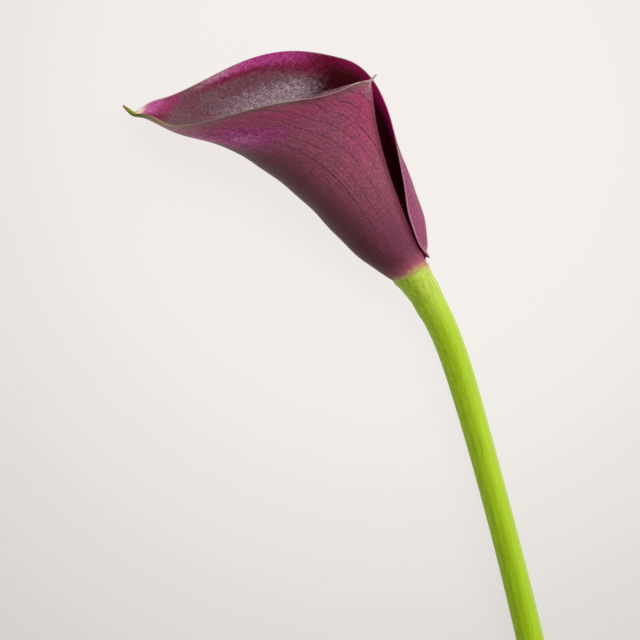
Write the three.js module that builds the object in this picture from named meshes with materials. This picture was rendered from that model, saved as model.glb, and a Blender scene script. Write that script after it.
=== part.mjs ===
// A cut calla lily that lies on its side: the stem, the rolled spathe and the spadix in it.
// Millimetres, +Z up, and the surface that it lies on is z = 0.
import * as THREE from 'three';
import { mergeVertices } from 'three/addons/utils/BufferGeometryUtils.js';

const degree = Math.PI / 180;

// The head has a frame of its own. p and q span the plane that halves it, with p towards the
// seam and q towards the mouth, and w runs across it, from the far margin to the near one.
// It is rolled and pitched from there, to lie on its far margin.
const restRoll = -15 * degree;
const restPitch = 24 * degree;
const headRise = 10.35;

// The spathe is one leaf. Each station is a cross rib at a point of its midrib, from the stem
// to the tip. mid is that point in p and q, lean the direction from it into the tube, deep and
// wide the half axes of the rib's ellipse, wrap the degrees that each wing goes round it, near
// and far, and flare how much each wing's margin stands out past the ellipse.
const stations = [
  { mid: [-3.5, -3.9], lean: 30, deep: 6.4, wide: 6.8, wrap: [165, 180], flare: [0, 0.02] },
  { mid: [-10, 0.6], lean: 24, deep: 9.1, wide: 8.9, wrap: [143, 215], flare: [-0.05, 0.04] },
  { mid: [-16.6, 6.2], lean: 22, deep: 12, wide: 10.5, wrap: [132, 226], flare: [-0.05, 0.05] },
  { mid: [-27.3, 17.8], lean: 23, deep: 15.3, wide: 13.6, wrap: [134, 211], flare: [-0.03, 0.04] },
  { mid: [-36.8, 26.7], lean: 37, deep: 19.3, wide: 17.1, wrap: [141, 165], flare: [0, 0.04] },
  { mid: [-43.4, 31.7], lean: 42, deep: 24.9, wide: 20.2, wrap: [137, 125], flare: [0.04, 0.06] },
  { mid: [-49.5, 35.7], lean: 40, deep: 29.6, wide: 23, wrap: [107, 105], flare: [0.08, 0.1] },
  { mid: [-56.7, 39.3], lean: 44, deep: 27.9, wide: 24, wrap: [86, 97], flare: [0.08, 0.15] },
  { mid: [-63.4, 41.2], lean: 51, deep: 20.6, wide: 22, wrap: [72, 94], flare: [0.08, 0.15] },
  { mid: [-69.4, 43.1], lean: 56, deep: 12.5, wide: 17, wrap: [62, 91], flare: [0.08, 0.12] },
  { mid: [-74.8, 45.4], lean: 61, deep: 6.8, wide: 10.7, wrap: [58, 86], flare: [0.06, 0.08] },
  { mid: [-78.8, 46.8], lean: 66, deep: 4, wide: 5, wrap: [65, 80], flare: [0.03, 0.03] },
  { mid: [-81, 47], lean: 68, deep: 1.3, wide: 1.6, wrap: [70, 80], flare: [0, 0] },
  { mid: [-82.6, 48.1], lean: 62, deep: 0.75, wide: 0.7, wrap: [75, 75], flare: [0, 0] },
  { mid: [-84.3, 50.1], lean: 55, deep: 0.45, wide: 0.45, wrap: [75, 75], flare: [0, 0] },
];
const flareStart = 0.6;

// Where the near margin turns from the seam into the mouth it is drawn out to a small ear.
const earStation = 5;
const earReach = 6;
const ear = new THREE.Vector3(1.8, 1.8, 0);

const spatheWall = 1.1;
const marginWall = 0.7;
const spatheSteps = 3;
const wingSteps = 18;

// The tail of the leaf closes to a solid horn between these two stations.
const hornStart = 11;
const hornEnd = 13;
const hornEdge = 25;

// The stem's middle line in x and y, from under the head to the cut, and its radius there.
const stemRoute = [
  [4.8, -6.5, 5.1],
  [7.7, -11.6, 4.65],
  [10.2, -16.6, 4.4],
  [12.6, -22.9, 4.25],
  [14.5, -29.1, 4.15],
  [17.3, -41.7, 4],
  [19.7, -54.2, 4],
  [23.7, -79.2, 4],
  [27.2, -104, 4],
  [30.5, -131.8, 4],
  [32.9, -162.3, 4],
  [34, -192.5, 4],
  [34, -222.3, 4],
  [33.5, -237, 4],
];
const stemRadius = 4;
const stemTopRadius = 6.6;
const stemSides = 20;
const stemSteps = 46;
const stemStepGrowth = 1.35;
const neckLength = 56;

// The stem's top stands a little way into the spathe's tube, and the spadix grows from it.
const jointGap = 0.3;
const plugRadius = 4.7;
const plugHeight = 2.6;
const plugRounding = 0.9;
const spadixLength = 34;
const spadixRadius = 3.3;
const spadixSides = 24;
const spadixSteps = 36;
const floretRows = 18;
const floretsRound = 8;
const floretRelief = 0.22;
const spadixLean = 121 * degree;

// A natural cubic spline through the values at the knots.
function spline(knots, values) {
  const last = knots.length - 1;
  const slope = new Array(last + 1).fill(0);
  const bend = new Array(last + 1).fill(0);
  for (let i = 1; i < last; i += 1) {
    const before = knots[i] - knots[i - 1];
    const after = knots[i + 1] - knots[i];
    const turn = (values[i + 1] - values[i]) / after - (values[i] - values[i - 1]) / before;
    const pivot = 2 * (before + after) - before * slope[i - 1];
    slope[i] = after / pivot;
    bend[i] = (6 * turn - before * bend[i - 1]) / pivot;
  }
  for (let i = last - 1; i > 0; i -= 1) {
    bend[i] -= slope[i] * bend[i + 1];
  }
  return (at) => {
    let i = 0;
    while (i < last - 1 && at > knots[i + 1]) {
      i += 1;
    }
    const span = knots[i + 1] - knots[i];
    const right = (at - knots[i]) / span;
    const left = 1 - right;
    const curve = (left ** 3 - left) * bend[i] + (right ** 3 - right) * bend[i + 1];
    return left * values[i] + right * values[i + 1] + (curve * span * span) / 6;
  };
}

function distances(points) {
  const along = [0];
  for (let i = 1; i < points.length; i += 1) {
    along.push(along[i - 1] + Math.hypot(...points[i].map((value, axis) => value - points[i - 1][axis])));
  }
  return along;
}

const midribAt = distances(stations.map((station) => station.mid));
const leafLength = midribAt[midribAt.length - 1];
const alongLeaf = (pick) => spline(midribAt, stations.map(pick));
const leaf = {
  p: alongLeaf((station) => station.mid[0]),
  q: alongLeaf((station) => station.mid[1]),
  lean: alongLeaf((station) => station.lean * degree),
  deep: alongLeaf((station) => station.deep),
  wide: alongLeaf((station) => station.wide),
  wrap: [0, 1].map((side) => alongLeaf((station) => station.wrap[side] * degree)),
  flare: [0, 1].map((side) => alongLeaf((station) => station.flare[side])),
};

// A point of the rib at a place on the midrib, where angle goes round from the midrib and
// grow scales the ellipse.
function ribPoint(at, angle, grow, side) {
  const lean = leaf.lean(at);
  const out = leaf.deep(at) * (1 - Math.cos(angle) * grow);
  const across = leaf.wide(at) * Math.sin(angle) * grow * (side === 0 ? 1 : -1);
  return new THREE.Vector3(leaf.p(at) + Math.cos(lean) * out, leaf.q(at) + Math.sin(lean) * out, across);
}

// The outer face: at runs along the midrib in mm, and across from -1 at the near margin to 1.
function outerPoint(at, across) {
  const side = across < 0 ? 0 : 1;
  const reach = Math.abs(across);
  const edge = Math.max(0, (reach - flareStart) / (1 - flareStart));
  const grow = 1 + leaf.flare[side](at) * edge ** 2;
  const point = ribPoint(at, leaf.wrap[side](at) * reach, grow, side);
  if (side === 0) {
    const near = Math.max(0, 1 - Math.abs(at - midribAt[earStation]) / earReach);
    point.addScaledVector(ear, (near * edge) ** 2);
  }
  return point;
}

function inwardNormal(at, across) {
  const step = 0.01;
  const along = outerPoint(Math.min(at + step, leafLength), across);
  along.sub(outerPoint(Math.max(at - step, 0), across));
  const over = outerPoint(at, Math.min(across + step / 10, 1));
  over.sub(outerPoint(at, Math.max(across - step / 10, -1)));
  return over.cross(along).normalize();
}

// The inner face lies one wall inside. In the horn it is the other half of the ellipse.
function innerPoint(at, across) {
  const wall = marginWall + (spatheWall - marginWall) * (1 - Math.abs(across) ** 4);
  const point = outerPoint(at, across).addScaledVector(inwardNormal(at, across), wall);
  const closing = THREE.MathUtils.smoothstep(at, midribAt[hornStart], midribAt[hornEnd]);
  if (closing > 0) {
    const side = across < 0 ? 0 : 1;
    const edge = leaf.wrap[side](at) + hornEdge * degree;
    const angle = Math.PI - (Math.PI - edge) * Math.abs(across);
    point.lerp(ribPoint(at, angle, 1, side), closing);
  }
  return point;
}

// Up, in the head's frame. Where the far margin lies on the surface it is pressed flat.
const up = new THREE.Vector3(0, 0, 1);
up.applyEuler(new THREE.Euler(-restPitch, 0, 0));
up.applyEuler(new THREE.Euler(0, -restRoll, 0));
function pressed(point) {
  const below = -headRise - point.dot(up);
  return below > 0 ? point.addScaledVector(up, below) : point;
}

// A closed body from a list of rings that all have the same number of points.
function ringBody(rings, closedRings) {
  const round = rings[0].length;
  const positions = rings.flat().flatMap((point) => point.toArray());
  const faces = [];
  for (let i = 0; i < rings.length - 1; i += 1) {
    for (let j = 0; j < round; j += 1) {
      const here = i * round + j;
      const next = i * round + ((j + 1) % round);
      faces.push(here, next, next + round, here, next + round, here + round);
    }
  }
  const lastRing = (rings.length - 1) * round;
  closedRings(faces, 0, lastRing);
  const geometry = new THREE.BufferGeometry();
  geometry.setAttribute('position', new THREE.Float32BufferAttribute(positions, 3));
  geometry.setIndex(faces);
  return mergeVertices(geometry, 1e-3);
}

// Ends of a round body are fans, and the ends of a leaf are strips from face to face.
function fanEnds(round) {
  return (faces, first, last) => {
    for (let j = 1; j < round - 1; j += 1) {
      faces.push(first, first + j + 1, first + j);
      faces.push(last, last + j, last + j + 1);
    }
  };
}

function stripEnds(round) {
  return (faces, first, last) => {
    for (let j = 0; j < round / 2 - 1; j += 1) {
      const back = round - 1 - j;
      faces.push(first + j, first + back, first + j + 1);
      faces.push(first + j + 1, first + back, first + back - 1);
      faces.push(last + j, last + j + 1, last + back);
      faces.push(last + j + 1, last + back - 1, last + back);
    }
  };
}

function spatheGeometry() {
  const rows = [];
  for (let i = 0; i < stations.length - 1; i += 1) {
    for (let j = 0; j < spatheSteps; j += 1) {
      rows.push(THREE.MathUtils.lerp(midribAt[i], midribAt[i + 1], j / spatheSteps));
    }
  }
  rows.push(leafLength);
  const rings = rows.map((at) => {
    const outer = [];
    const inner = [];
    for (let j = -wingSteps; j <= wingSteps; j += 1) {
      outer.push(pressed(outerPoint(at, j / wingSteps)));
      inner.push(pressed(innerPoint(at, j / wingSteps)));
    }
    return [...inner, ...outer.reverse()];
  });
  return ringBody(rings, stripEnds(rings[0].length));
}

// A ring round an axis through a centre, with one flat side down.
function ring(centre, axis, radius, sides, shape = () => 1) {
  const side = new THREE.Vector3(0, 0, 1).cross(axis).normalize();
  const rise = new THREE.Vector3().crossVectors(axis, side).normalize();
  return Array.from({ length: sides }, (_, k) => {
    const angle = ((k + 0.5) / sides) * 2 * Math.PI - Math.PI / 2;
    const size = radius * shape(angle);
    const point = centre.clone().addScaledVector(side, Math.cos(angle) * size);
    return point.addScaledVector(rise, Math.sin(angle) * size);
  });
}

const head = new THREE.Group();
head.rotation.set(restPitch, restRoll, 0);
head.position.set(0, 0, headRise);
head.updateMatrixWorld();

// The tube's foot, where the stem meets it: its centre and the direction up the tube.
const foot = stations[0];
const footLean = foot.lean * degree;
const footCentre = new THREE.Vector3(
  foot.mid[0] + foot.deep * Math.cos(footLean),
  foot.mid[1] + foot.deep * Math.sin(footLean),
  0,
);
const footAxis = new THREE.Vector3(-Math.sin(footLean), Math.cos(footLean), 0);

function stemGeometry() {
  const top = head.localToWorld(footCentre.clone());
  const tip = head.localToWorld(footCentre.clone().add(footAxis));
  const axis = tip.sub(top);
  top.addScaledVector(axis, -jointGap);
  const plan = [[top.x, top.y], ...stemRoute.map((point) => point.slice(0, 2))];
  const along = distances(plan);
  const length = along[along.length - 1];
  const x = spline(along, plan.map((point) => point[0]));
  const y = spline(along, plan.map((point) => point[1]));
  const radius = spline(along, [stemTopRadius, ...stemRoute.map((point) => point[2])]);
  const lyingHeight = stemRadius * Math.cos(Math.PI / stemSides);
  const centre = (at) => {
    const left = Math.max(0, 1 - at / neckLength);
    return new THREE.Vector3(x(at), y(at), lyingHeight + (top.z - lyingHeight) * left ** 2);
  };
  const rings = [];
  for (let i = stemSteps; i > 0; i -= 1) {
    const at = length * (i / stemSteps) ** stemStepGrowth;
    const step = 0.5;
    const before = centre(Math.min(at + step, length));
    const way = centre(Math.max(at - step, 0)).sub(before).normalize();
    rings.push(ring(centre(at), way, at > neckLength ? stemRadius : radius(at), stemSides));
  }
  rings.push(ring(top, axis, stemTopRadius, stemSides));
  rings.push(ring(top, axis, plugRadius, stemSides));
  const shoulder = top.clone().addScaledVector(axis, plugHeight - plugRounding);
  const crown = top.clone().addScaledVector(axis, plugHeight);
  rings.push(ring(shoulder, axis, plugRadius, stemSides));
  rings.push(ring(crown, axis, plugRadius - plugRounding, stemSides));
  return ringBody(rings, fanEnds(stemSides));
}

// The spadix is a blunt finger, covered in florets that stand in staggered rows.
function spadixGeometry() {
  const axis = new THREE.Vector3(Math.cos(spadixLean), Math.sin(spadixLean), 0);
  const base = footCentre.clone().addScaledVector(footAxis, plugHeight);
  const rings = [];
  for (let i = 0; i <= spadixSteps; i += 1) {
    const part = i / spadixSteps;
    const taper = Math.sqrt(Math.max(0, 1 - ((part - 0.12) / 0.9) ** 4));
    const radius = spadixRadius * Math.max(0.12, Math.min(taper, 0.8 + part));
    const relief = (floretRelief / spadixRadius) * Math.cos(part * floretRows * Math.PI);
    const florets = (angle) => 1 + relief * Math.cos(floretsRound * angle);
    const centre = base.clone().addScaledVector(axis, part * spadixLength);
    rings.push(ring(centre, axis, radius, spadixSides, florets));
  }
  return ringBody(rings, fanEnds(spadixSides));
}

const spatheMaterial = new THREE.MeshStandardMaterial({ color: 0x7d2c57, roughness: 0.5, metalness: 0 });
const stemMaterial = new THREE.MeshStandardMaterial({ color: 0x96b638, roughness: 0.45, metalness: 0 });
const spadixMaterial = new THREE.MeshStandardMaterial({ color: 0xd3a436, roughness: 0.7, metalness: 0 });

function named(name, geometry, material) {
  const mesh = new THREE.Mesh(geometry, material);
  mesh.name = name;
  return mesh;
}

head.add(named('spathe', spatheGeometry(), spatheMaterial));
head.add(named('spadix', spadixGeometry(), spadixMaterial));

const flower = new THREE.Group();
flower.add(head);
flower.add(named('stem', stemGeometry(), stemMaterial));

// The origin is under the middle of the whole flower.
const middle = new THREE.Box3().setFromObject(flower, true).getCenter(new THREE.Vector3());
flower.position.set(-middle.x, -middle.y, 0);

export default flower;
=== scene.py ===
import math

import bpy
import numpy as np
from mathutils import Matrix


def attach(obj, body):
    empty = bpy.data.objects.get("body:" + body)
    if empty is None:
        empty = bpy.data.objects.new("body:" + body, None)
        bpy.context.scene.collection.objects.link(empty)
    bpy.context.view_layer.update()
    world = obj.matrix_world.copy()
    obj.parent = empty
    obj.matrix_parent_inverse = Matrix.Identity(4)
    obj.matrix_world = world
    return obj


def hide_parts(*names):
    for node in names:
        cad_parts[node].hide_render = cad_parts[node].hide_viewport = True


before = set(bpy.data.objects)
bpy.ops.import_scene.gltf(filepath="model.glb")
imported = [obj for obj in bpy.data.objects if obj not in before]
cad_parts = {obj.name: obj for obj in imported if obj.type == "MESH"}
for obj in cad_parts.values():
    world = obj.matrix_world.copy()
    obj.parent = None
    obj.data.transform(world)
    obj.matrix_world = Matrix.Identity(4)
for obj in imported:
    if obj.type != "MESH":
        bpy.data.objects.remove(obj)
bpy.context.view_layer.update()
print("frame loaded:", ", ".join(sorted(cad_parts)))

millimetre = 0.001

# The head is shaped in a frame of its own: p towards the seam, q towards the mouth, and w
# across, towards the camera. It lies rolled about y and then pitched about x.
lying = {
    "roll": -15.0,
    "pitch": 24.0,
    "rise": 10.35,
    "shift": (21.670, 83.331),
}


def turnMatrix():
    roll = math.radians(lying["roll"])
    pitch = math.radians(lying["pitch"])
    return np.array(Matrix.Rotation(pitch, 3, "X") @ Matrix.Rotation(roll, 3, "Y"))


headTurn = turnMatrix()
headShift = np.array([*lying["shift"], 0])
headPlace = headShift + [0, 0, lying["rise"]]


def toRow(points):
    # head frame to row frame, both in mm: turned, then moved
    return points @ headTurn.T + headPlace


def ramp(values, low, high):
    # 0 below low, 1 above high, and a smooth S between them
    part = np.clip((values - low) / (high - low), 0, 1)
    return part * part * (3 - 2 * part)


def hump(values, centre, reach):
    # 1 at the centre, falling smoothly to 0 at the reach on either side
    return 1 - ramp(np.abs(values - centre), 0, reach)


def unit(vectors):
    return vectors / np.maximum(np.linalg.norm(vectors, axis=-1, keepdims=True), 1e-12)


def naturalSpline(knots, values):
    # A cubic between each two knots, with equal slope and bend where they meet, and no bend
    # at either end. The bends come from one linear system, and the result takes arrays.
    knots = np.asarray(knots, float)
    values = np.asarray(values, float)
    span = np.diff(knots)
    count = len(knots)
    system = np.eye(count)
    wanted = np.zeros(count)
    inner = np.arange(1, count - 1)
    system[inner, inner - 1] = span[:-1]
    system[inner, inner] = 2 * (span[:-1] + span[1:])
    system[inner, inner + 1] = span[1:]
    wanted[1:-1] = 6 * (np.diff(values)[1:] / span[1:] - np.diff(values)[:-1] / span[:-1])
    bend = np.linalg.solve(system, wanted)

    def evaluate(at):
        at = np.asarray(at, float)
        i = np.clip(np.searchsorted(knots, at) - 1, 0, count - 2)
        right = (at - knots[i]) / span[i]
        left = 1 - right
        curve = (left ** 3 - left) * bend[i] + (right ** 3 - right) * bend[i + 1]
        return left * values[i] + right * values[i + 1] + curve * span[i] ** 2 / 6

    return evaluate


def cumulated(points):
    steps = np.linalg.norm(np.diff(np.asarray(points, float), axis=0), axis=1)
    return np.concatenate([[0], np.cumsum(steps)])


def spread(length, count, spacing):
    # places from 0 to length, closer together where spacing(place) is smaller
    fine = np.linspace(0, length, 4000)
    density = 1 / spacing(fine)
    total = np.concatenate([[0], np.cumsum((density[1:] + density[:-1]) / 2)])
    return np.interp(np.linspace(0, total[-1], count), total, fine)


# The spathe: one leaf, rolled into a funnel. Each station is a cross rib at a point of the
# midrib: p and q there, the lean of the rib into the tube, half axes of its ellipse (deep,
# wide), how far the near and far wing go round it, and how much their margins stand out.
spathe = {
    "stations": [
        (-3.5, -3.9, 30, 6.4, 6.8, 176, 183, 0, 0),
        (-10, 0.6, 24, 9.1, 8.9, 143, 215, -0.05, 0.04),
        (-16.6, 6.2, 22, 12, 10.5, 134, 226, -0.05, 0.05),
        (-27.3, 17.8, 23, 15.35, 13.6, 138, 211, -0.03, 0.04),
        (-36.8, 26.7, 37, 19.3, 17.1, 142, 165, 0, 0.04),
        (-43.4, 31.7, 42, 24.9, 20.2, 137, 125, 0.04, 0.06),
        (-49.5, 35.7, 40, 29.6, 23, 107, 104.2, 0.08, 0.1),
        (-56.7, 39.3, 44, 27.9, 24, 86, 96.2, 0.08, 0.15),
        (-63.4, 41.2, 51, 20.6, 22, 72, 92.8, 0.08, 0.15),
        (-69.4, 43.1, 56, 12.5, 17, 62, 87, 0.08, 0.12),
        (-74.8, 45.4, 61, 6.8, 10.7, 58, 80, 0.06, 0.08),
        (-78.8, 46.8, 66, 4, 5, 65, 76, 0.03, 0.03),
        (-81, 47, 68, 1.2, 1.5, 70, 80, 0, 0),
        (-82.6, 48.05, 62, 0.64, 0.6, 75, 75, 0, 0),
        (-84.3, 50.1, 55, 0.24, 0.24, 75, 75, 0, 0),
    ],
    "flareStart": 0.6,
    "rows": 250,
    "wingColumns": 66,
    "wall": 0.95,
    "marginWall": 0.3,
    "marginReach": 7.0,
    "cornerReach": 5.0,
    "corner": (0.55, 0.5, 0.0),
    "spurReach": 0.75,
    "spurWidth": 1.2,
    "spur": (2.0, 1.9, 0.0),
    # where along the leaf, and how far the near margin is moved outwards there
    "nudges": [
        (0, 0), (7, -0.45), (14, 0.3), (21, -0.7), (28, -0.95), (35, -0.9), (42, 0.5), (48, 0.3),
        (54, -1.3), (57, -1.55), (60, 2.1), (62, 2.75), (64, 1.85), (67, -0.3), (70, -1.05),
        (73, -0.85), (77, -0.6), (80, -0.85), (83, -0.85), (85.5, -0.35), (88, 0.45), (91, -0.3),
        (94, 0.1), (99, 0),
    ],
    "footPull": 1.0,
    "footPullAcross": (0.55, 0.95),
    "footPullAlong": 7.0,
    "flapSwell": 0.45,
    "flapAcrossAt": (0.84, 0.2),
    "flapAlongAt": (11, 11),
    "footCurlAt": 4.6,
    "footCurlReach": 2.4,
    "footCurlWidth": 2.2,
    "footCurl": (1.3, -0.9, 0.9),
    "lipAt": 62.6,
    "lipReach": 6.5,
    "lipWidth": 2.0,
    "lipTurn": 150.0,
    "wave": 0.16,
    "hornStart": 11,
    "hornEnd": 13,
    "hornEdge": 25,
    "pressSoftness": 0.14,
}

stations = np.array(spathe["stations"], float)
midribAt = cumulated(stations[:, :2])
leafLength = midribAt[-1]
stationSplines = [naturalSpline(midribAt, column) for column in stations.T]
earAt = midribAt[5]

# the foot, where the stem meets the spathe: its middle, the way up the tube and out to the seam
footLean = math.radians(stations[0, 2])
footAxis = np.array([-math.sin(footLean), math.cos(footLean), 0])
footOut = np.array([math.cos(footLean), math.sin(footLean), 0])
footCentre = np.append(stations[0, :2], 0) + footOut * stations[0, 3]
footAxisRow = headTurn @ footAxis
footOutRow = headTurn @ footOut
footAcrossRow = headTurn @ np.array([0, 0, 1.0])
footCentreRow = toRow(footCentre)


def leafRib(along):
    # the values of the rib at places along the leaf, with its three angles in radians
    rib = [spline(along) for spline in stationSplines]
    for i in (2, 5, 6):
        rib[i] = np.radians(rib[i])
    return rib


def ribPoint(along, angle, grow, side):
    # A point of the rib's ellipse. The angle goes round from the midrib, grow scales the
    # ellipse about its middle, and side is 1 on the near wing and -1 on the far one.
    p, q, lean, deep, wide = leafRib(along)[:5]
    out = deep * (1 - np.cos(angle) * grow)
    over = side * wide * np.sin(angle) * grow
    return np.stack([p + np.cos(lean) * out, q + np.sin(lean) * out, over], -1)


def wingWidths():
    # arc length in mm from the midrib to each margin, near and far, at places along the leaf
    at = np.linspace(0, leafLength, 400)
    along, part = np.meshgrid(at, np.linspace(0, 1, 200), indexing="ij")
    widths = []
    for wrap in leafRib(along)[5:7]:
        steps = np.diff(ribPoint(along, wrap * part, 1, 1), axis=1)
        widths.append(np.linalg.norm(steps, axis=-1).sum(1))
    return at, widths


widthAt, wingWidth = wingWidths()

# Veins keep their distance from the midrib where the leaf is broad, and draw together towards
# the foot and the tail: places along the leaf and how spread out the veins are there.
veinSpread = naturalSpline(
    [0, 12, 24, 33, 42, 52, 61, 66, 72, 78, 84, 90, leafLength],
    [0.49, 0.62, 0.76, 0.85, 0.94, 1.0, 1.02, 0.985, 0.88, 0.7, 0.45, 0.24, 0.1])


def marginDistance(along, across):
    # mm over the leaf to the margin of the wing that the point is on
    near = np.interp(along, widthAt, wingWidth[0])
    far = np.interp(along, widthAt, wingWidth[1])
    return np.where(across < 0, near, far) * (1 - np.abs(across))


nudgeAlong = naturalSpline(*zip(*spathe["nudges"]))


def plainFace(along, across):
    # The outer face without its rolled lip: the rib's ellipse, where the outer part of each
    # wing swells by its flare. The near margin is nudged in and out, and drawn out to a corner
    # and a hair-thin spur. The far margin curls outwards where it ends at the foot.
    rib = leafRib(along)
    near = across < 0
    side = np.where(near, 1.0, -1.0)
    reach = np.abs(across)
    edge = np.clip((reach - spathe["flareStart"]) / (1 - spathe["flareStart"]), 0, None)
    grow = 1 + np.where(near, rib[7], rib[8]) * edge ** 2
    angle = np.where(near, rib[5], rib[6]) * reach
    point = ribPoint(along, angle, grow, side)
    outwards = unit(ribPoint(along, angle + 0.01, grow, side) - point)
    point = point + outwards * (np.where(near, nudgeAlong(along), 0) * edge ** 2)[..., None]
    margin = marginDistance(along, across)
    corner = np.clip(1 - np.abs(along - earAt) / spathe["cornerReach"], 0, 1) * edge
    spur = np.clip(1 - margin / spathe["spurWidth"], 0, 1) ** 2
    spur = spur * hump(along, earAt, spathe["spurReach"])
    curl = np.clip(1 - margin / spathe["footCurlWidth"], 0, 1) ** 2
    curl = curl * hump(along, spathe["footCurlAt"], spathe["footCurlReach"])
    moves = {"corner": near * corner ** 2, "spur": near * spur, "footCurl": ~near * curl}
    for name, amount in moves.items():
        point = point + amount[..., None] * np.array(spathe[name])
    pull = spathe["footPull"] * ramp(reach, *spathe["footPullAcross"])
    pull = pull * (1 - ramp(along, 0, spathe["footPullAlong"]))
    return point - pull[..., None] * footOut


def outwardNormal(face, along, across):
    # by differences: the way along the leaf, crossed with the way over it, near to far
    step = 0.02
    ahead = np.minimum(along + step, leafLength)
    behind = np.maximum(along - step, 0)
    far = np.minimum(across + step / 10, 1)
    near = np.maximum(across - step / 10, -1)
    way = face(ahead, across) - face(behind, across)
    return unit(np.cross(way, face(along, far) - face(along, near)))


def outerFace(along, across):
    # The plain face, moved out along its normal by low waves of slow sines and a swelling of
    # the flap by the seam. The near margin ends in a lip that turns outwards: the last part of
    # the rib follows a circle instead, by the angle that its length makes at the circle.
    normal = outwardNormal(plainFace, along, across)
    ease = ramp(along, 0, 12) * (1 - ramp(along, 82, 92))
    waves = np.sin(along * 0.21 + 1.3) * np.sin(across * 6.1 + 0.4)
    waves = waves + 0.6 * np.sin(along * 0.47 + across * 4.3 + 2.1)
    flap = hump(across, *spathe["flapAcrossAt"]) * hump(along, *spathe["flapAlongAt"])
    lift = spathe["wave"] * ease * waves + spathe["flapSwell"] * flap
    face = plainFace(along, across) + normal * lift[..., None]
    near = np.interp(along, widthAt, wingWidth[0])
    start = -np.clip(1 - spathe["lipWidth"] / near, 0, 1)
    root = plainFace(along, start)
    up = unit(plainFace(along, np.full_like(across, -1.0)) - root)
    out = outwardNormal(plainFace, along, start)
    turn = math.radians(spathe["lipTurn"])
    radius = spathe["lipWidth"] / turn
    angle = turn * np.clip(1 - marginDistance(along, across) / spathe["lipWidth"], 0, 1)
    curled = root + up * (radius * np.sin(angle))[..., None]
    curled = curled + out * (radius * (1 - np.cos(angle)))[..., None]
    lip = np.where((across < 0) & (angle > 0), hump(along, spathe["lipAt"], spathe["lipReach"]), 0)
    return face + (curled - face) * lip[..., None]


def leafFaces(along, across):
    # Outer and inner face. The wall thins from the midrib to the margins, and near the tail
    # the inner face closes to the other half of the rib, so that the tail is a solid horn.
    outer = outerFace(along, across)
    depth = ramp(marginDistance(along, across), 0, spathe["marginReach"])
    thick = spathe["marginWall"] + (spathe["wall"] - spathe["marginWall"]) * depth
    inner = outer - outwardNormal(outerFace, along, across) * thick[..., None]
    closing = ramp(along, midribAt[spathe["hornStart"]], midribAt[spathe["hornEnd"]])[..., None]
    rib = leafRib(along)
    edge = np.where(across < 0, rib[5], rib[6]) + math.radians(spathe["hornEdge"])
    angle = math.pi - (math.pi - edge) * np.abs(across)
    other = ribPoint(along, angle, 1, np.where(across < 0, 1.0, -1.0))
    return outer, inner * (1 - closing) + other * closing


def pressed(points):
    # heights in the row frame below about 0 are lifted softly, so the leaf lies flat there
    soft = spathe["pressSoftness"]
    lifted = points.copy()
    lifted[..., 2] = soft * np.logaddexp(0, points[..., 2] / soft)
    return lifted


def newObject(name, data, axes=None, place=None):
    # axes are the object's own x, y and z as rows, and the place is in metres
    thing = bpy.data.objects.new(name, data)
    bpy.context.collection.objects.link(thing)
    if axes is not None:
        placing = Matrix(axes.T.tolist()).to_4x4()
        placing.translation = place.tolist()
        thing.matrix_world = placing
    return thing


def gridObject(name, rings, ends, attributes, slotOf=None, sharp=None):
    # Rings of points (rows, round, 3) in mm, joined by quads, with both ends closed: by a fan
    # to a middle point, or by a strip from the first half of the ring to the second.
    rows, around = rings.shape[:2]
    points = rings.reshape(-1, 3)
    row, column = np.meshgrid(np.arange(rows - 1), np.arange(around), indexing="ij")
    here = row * around + column
    after = row * around + (column + 1) % around
    quads = np.stack([here, after, after + around, here + around], -1).reshape(-1, 4)
    slots = np.zeros(len(quads), int) if slotOf is None else slotOf(column).reshape(-1)
    last = (rows - 1) * around
    values = {key: value.reshape(-1) for key, value in attributes.items()}
    if ends == "fan":
        middle = len(points)
        points = np.vstack([points, rings[0].mean(0), rings[-1].mean(0)])
        values = {key: np.append(value, [value[0], value[-1]]) for key, value in values.items()}
        k = np.arange(around)
        k1 = (k + 1) % around
        closers = np.vstack([np.stack([np.full(around, middle), k1, k], -1),
                             np.stack([np.full(around, middle + 1), last + k, last + k1], -1)])
    else:
        k = np.arange(around // 2 - 1)
        back = around - 1 - k
        closers = np.vstack([np.stack([k, back, back - 1, k + 1], -1),
                             np.stack([last + k, last + k + 1, last + back - 1, last + back], -1)])
    faces = quads.tolist() + closers.tolist()
    mesh = bpy.data.meshes.new(name)
    mesh.from_pydata((points * millimetre).tolist(), [], faces)
    slots = np.append(slots, np.zeros(len(closers), int))
    mesh.polygons.foreach_set("material_index", slots)
    mesh.polygons.foreach_set("use_smooth", np.ones(len(faces), bool))
    for key, value in values.items():
        layer = mesh.attributes.new(key, "FLOAT", "POINT")
        layer.data.foreach_set("value", value.astype(np.float32))
    if sharp is not None:
        mesh.set_sharp_from_angle(angle=math.radians(sharp))
    mesh.update()
    return newObject(name, mesh)


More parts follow.
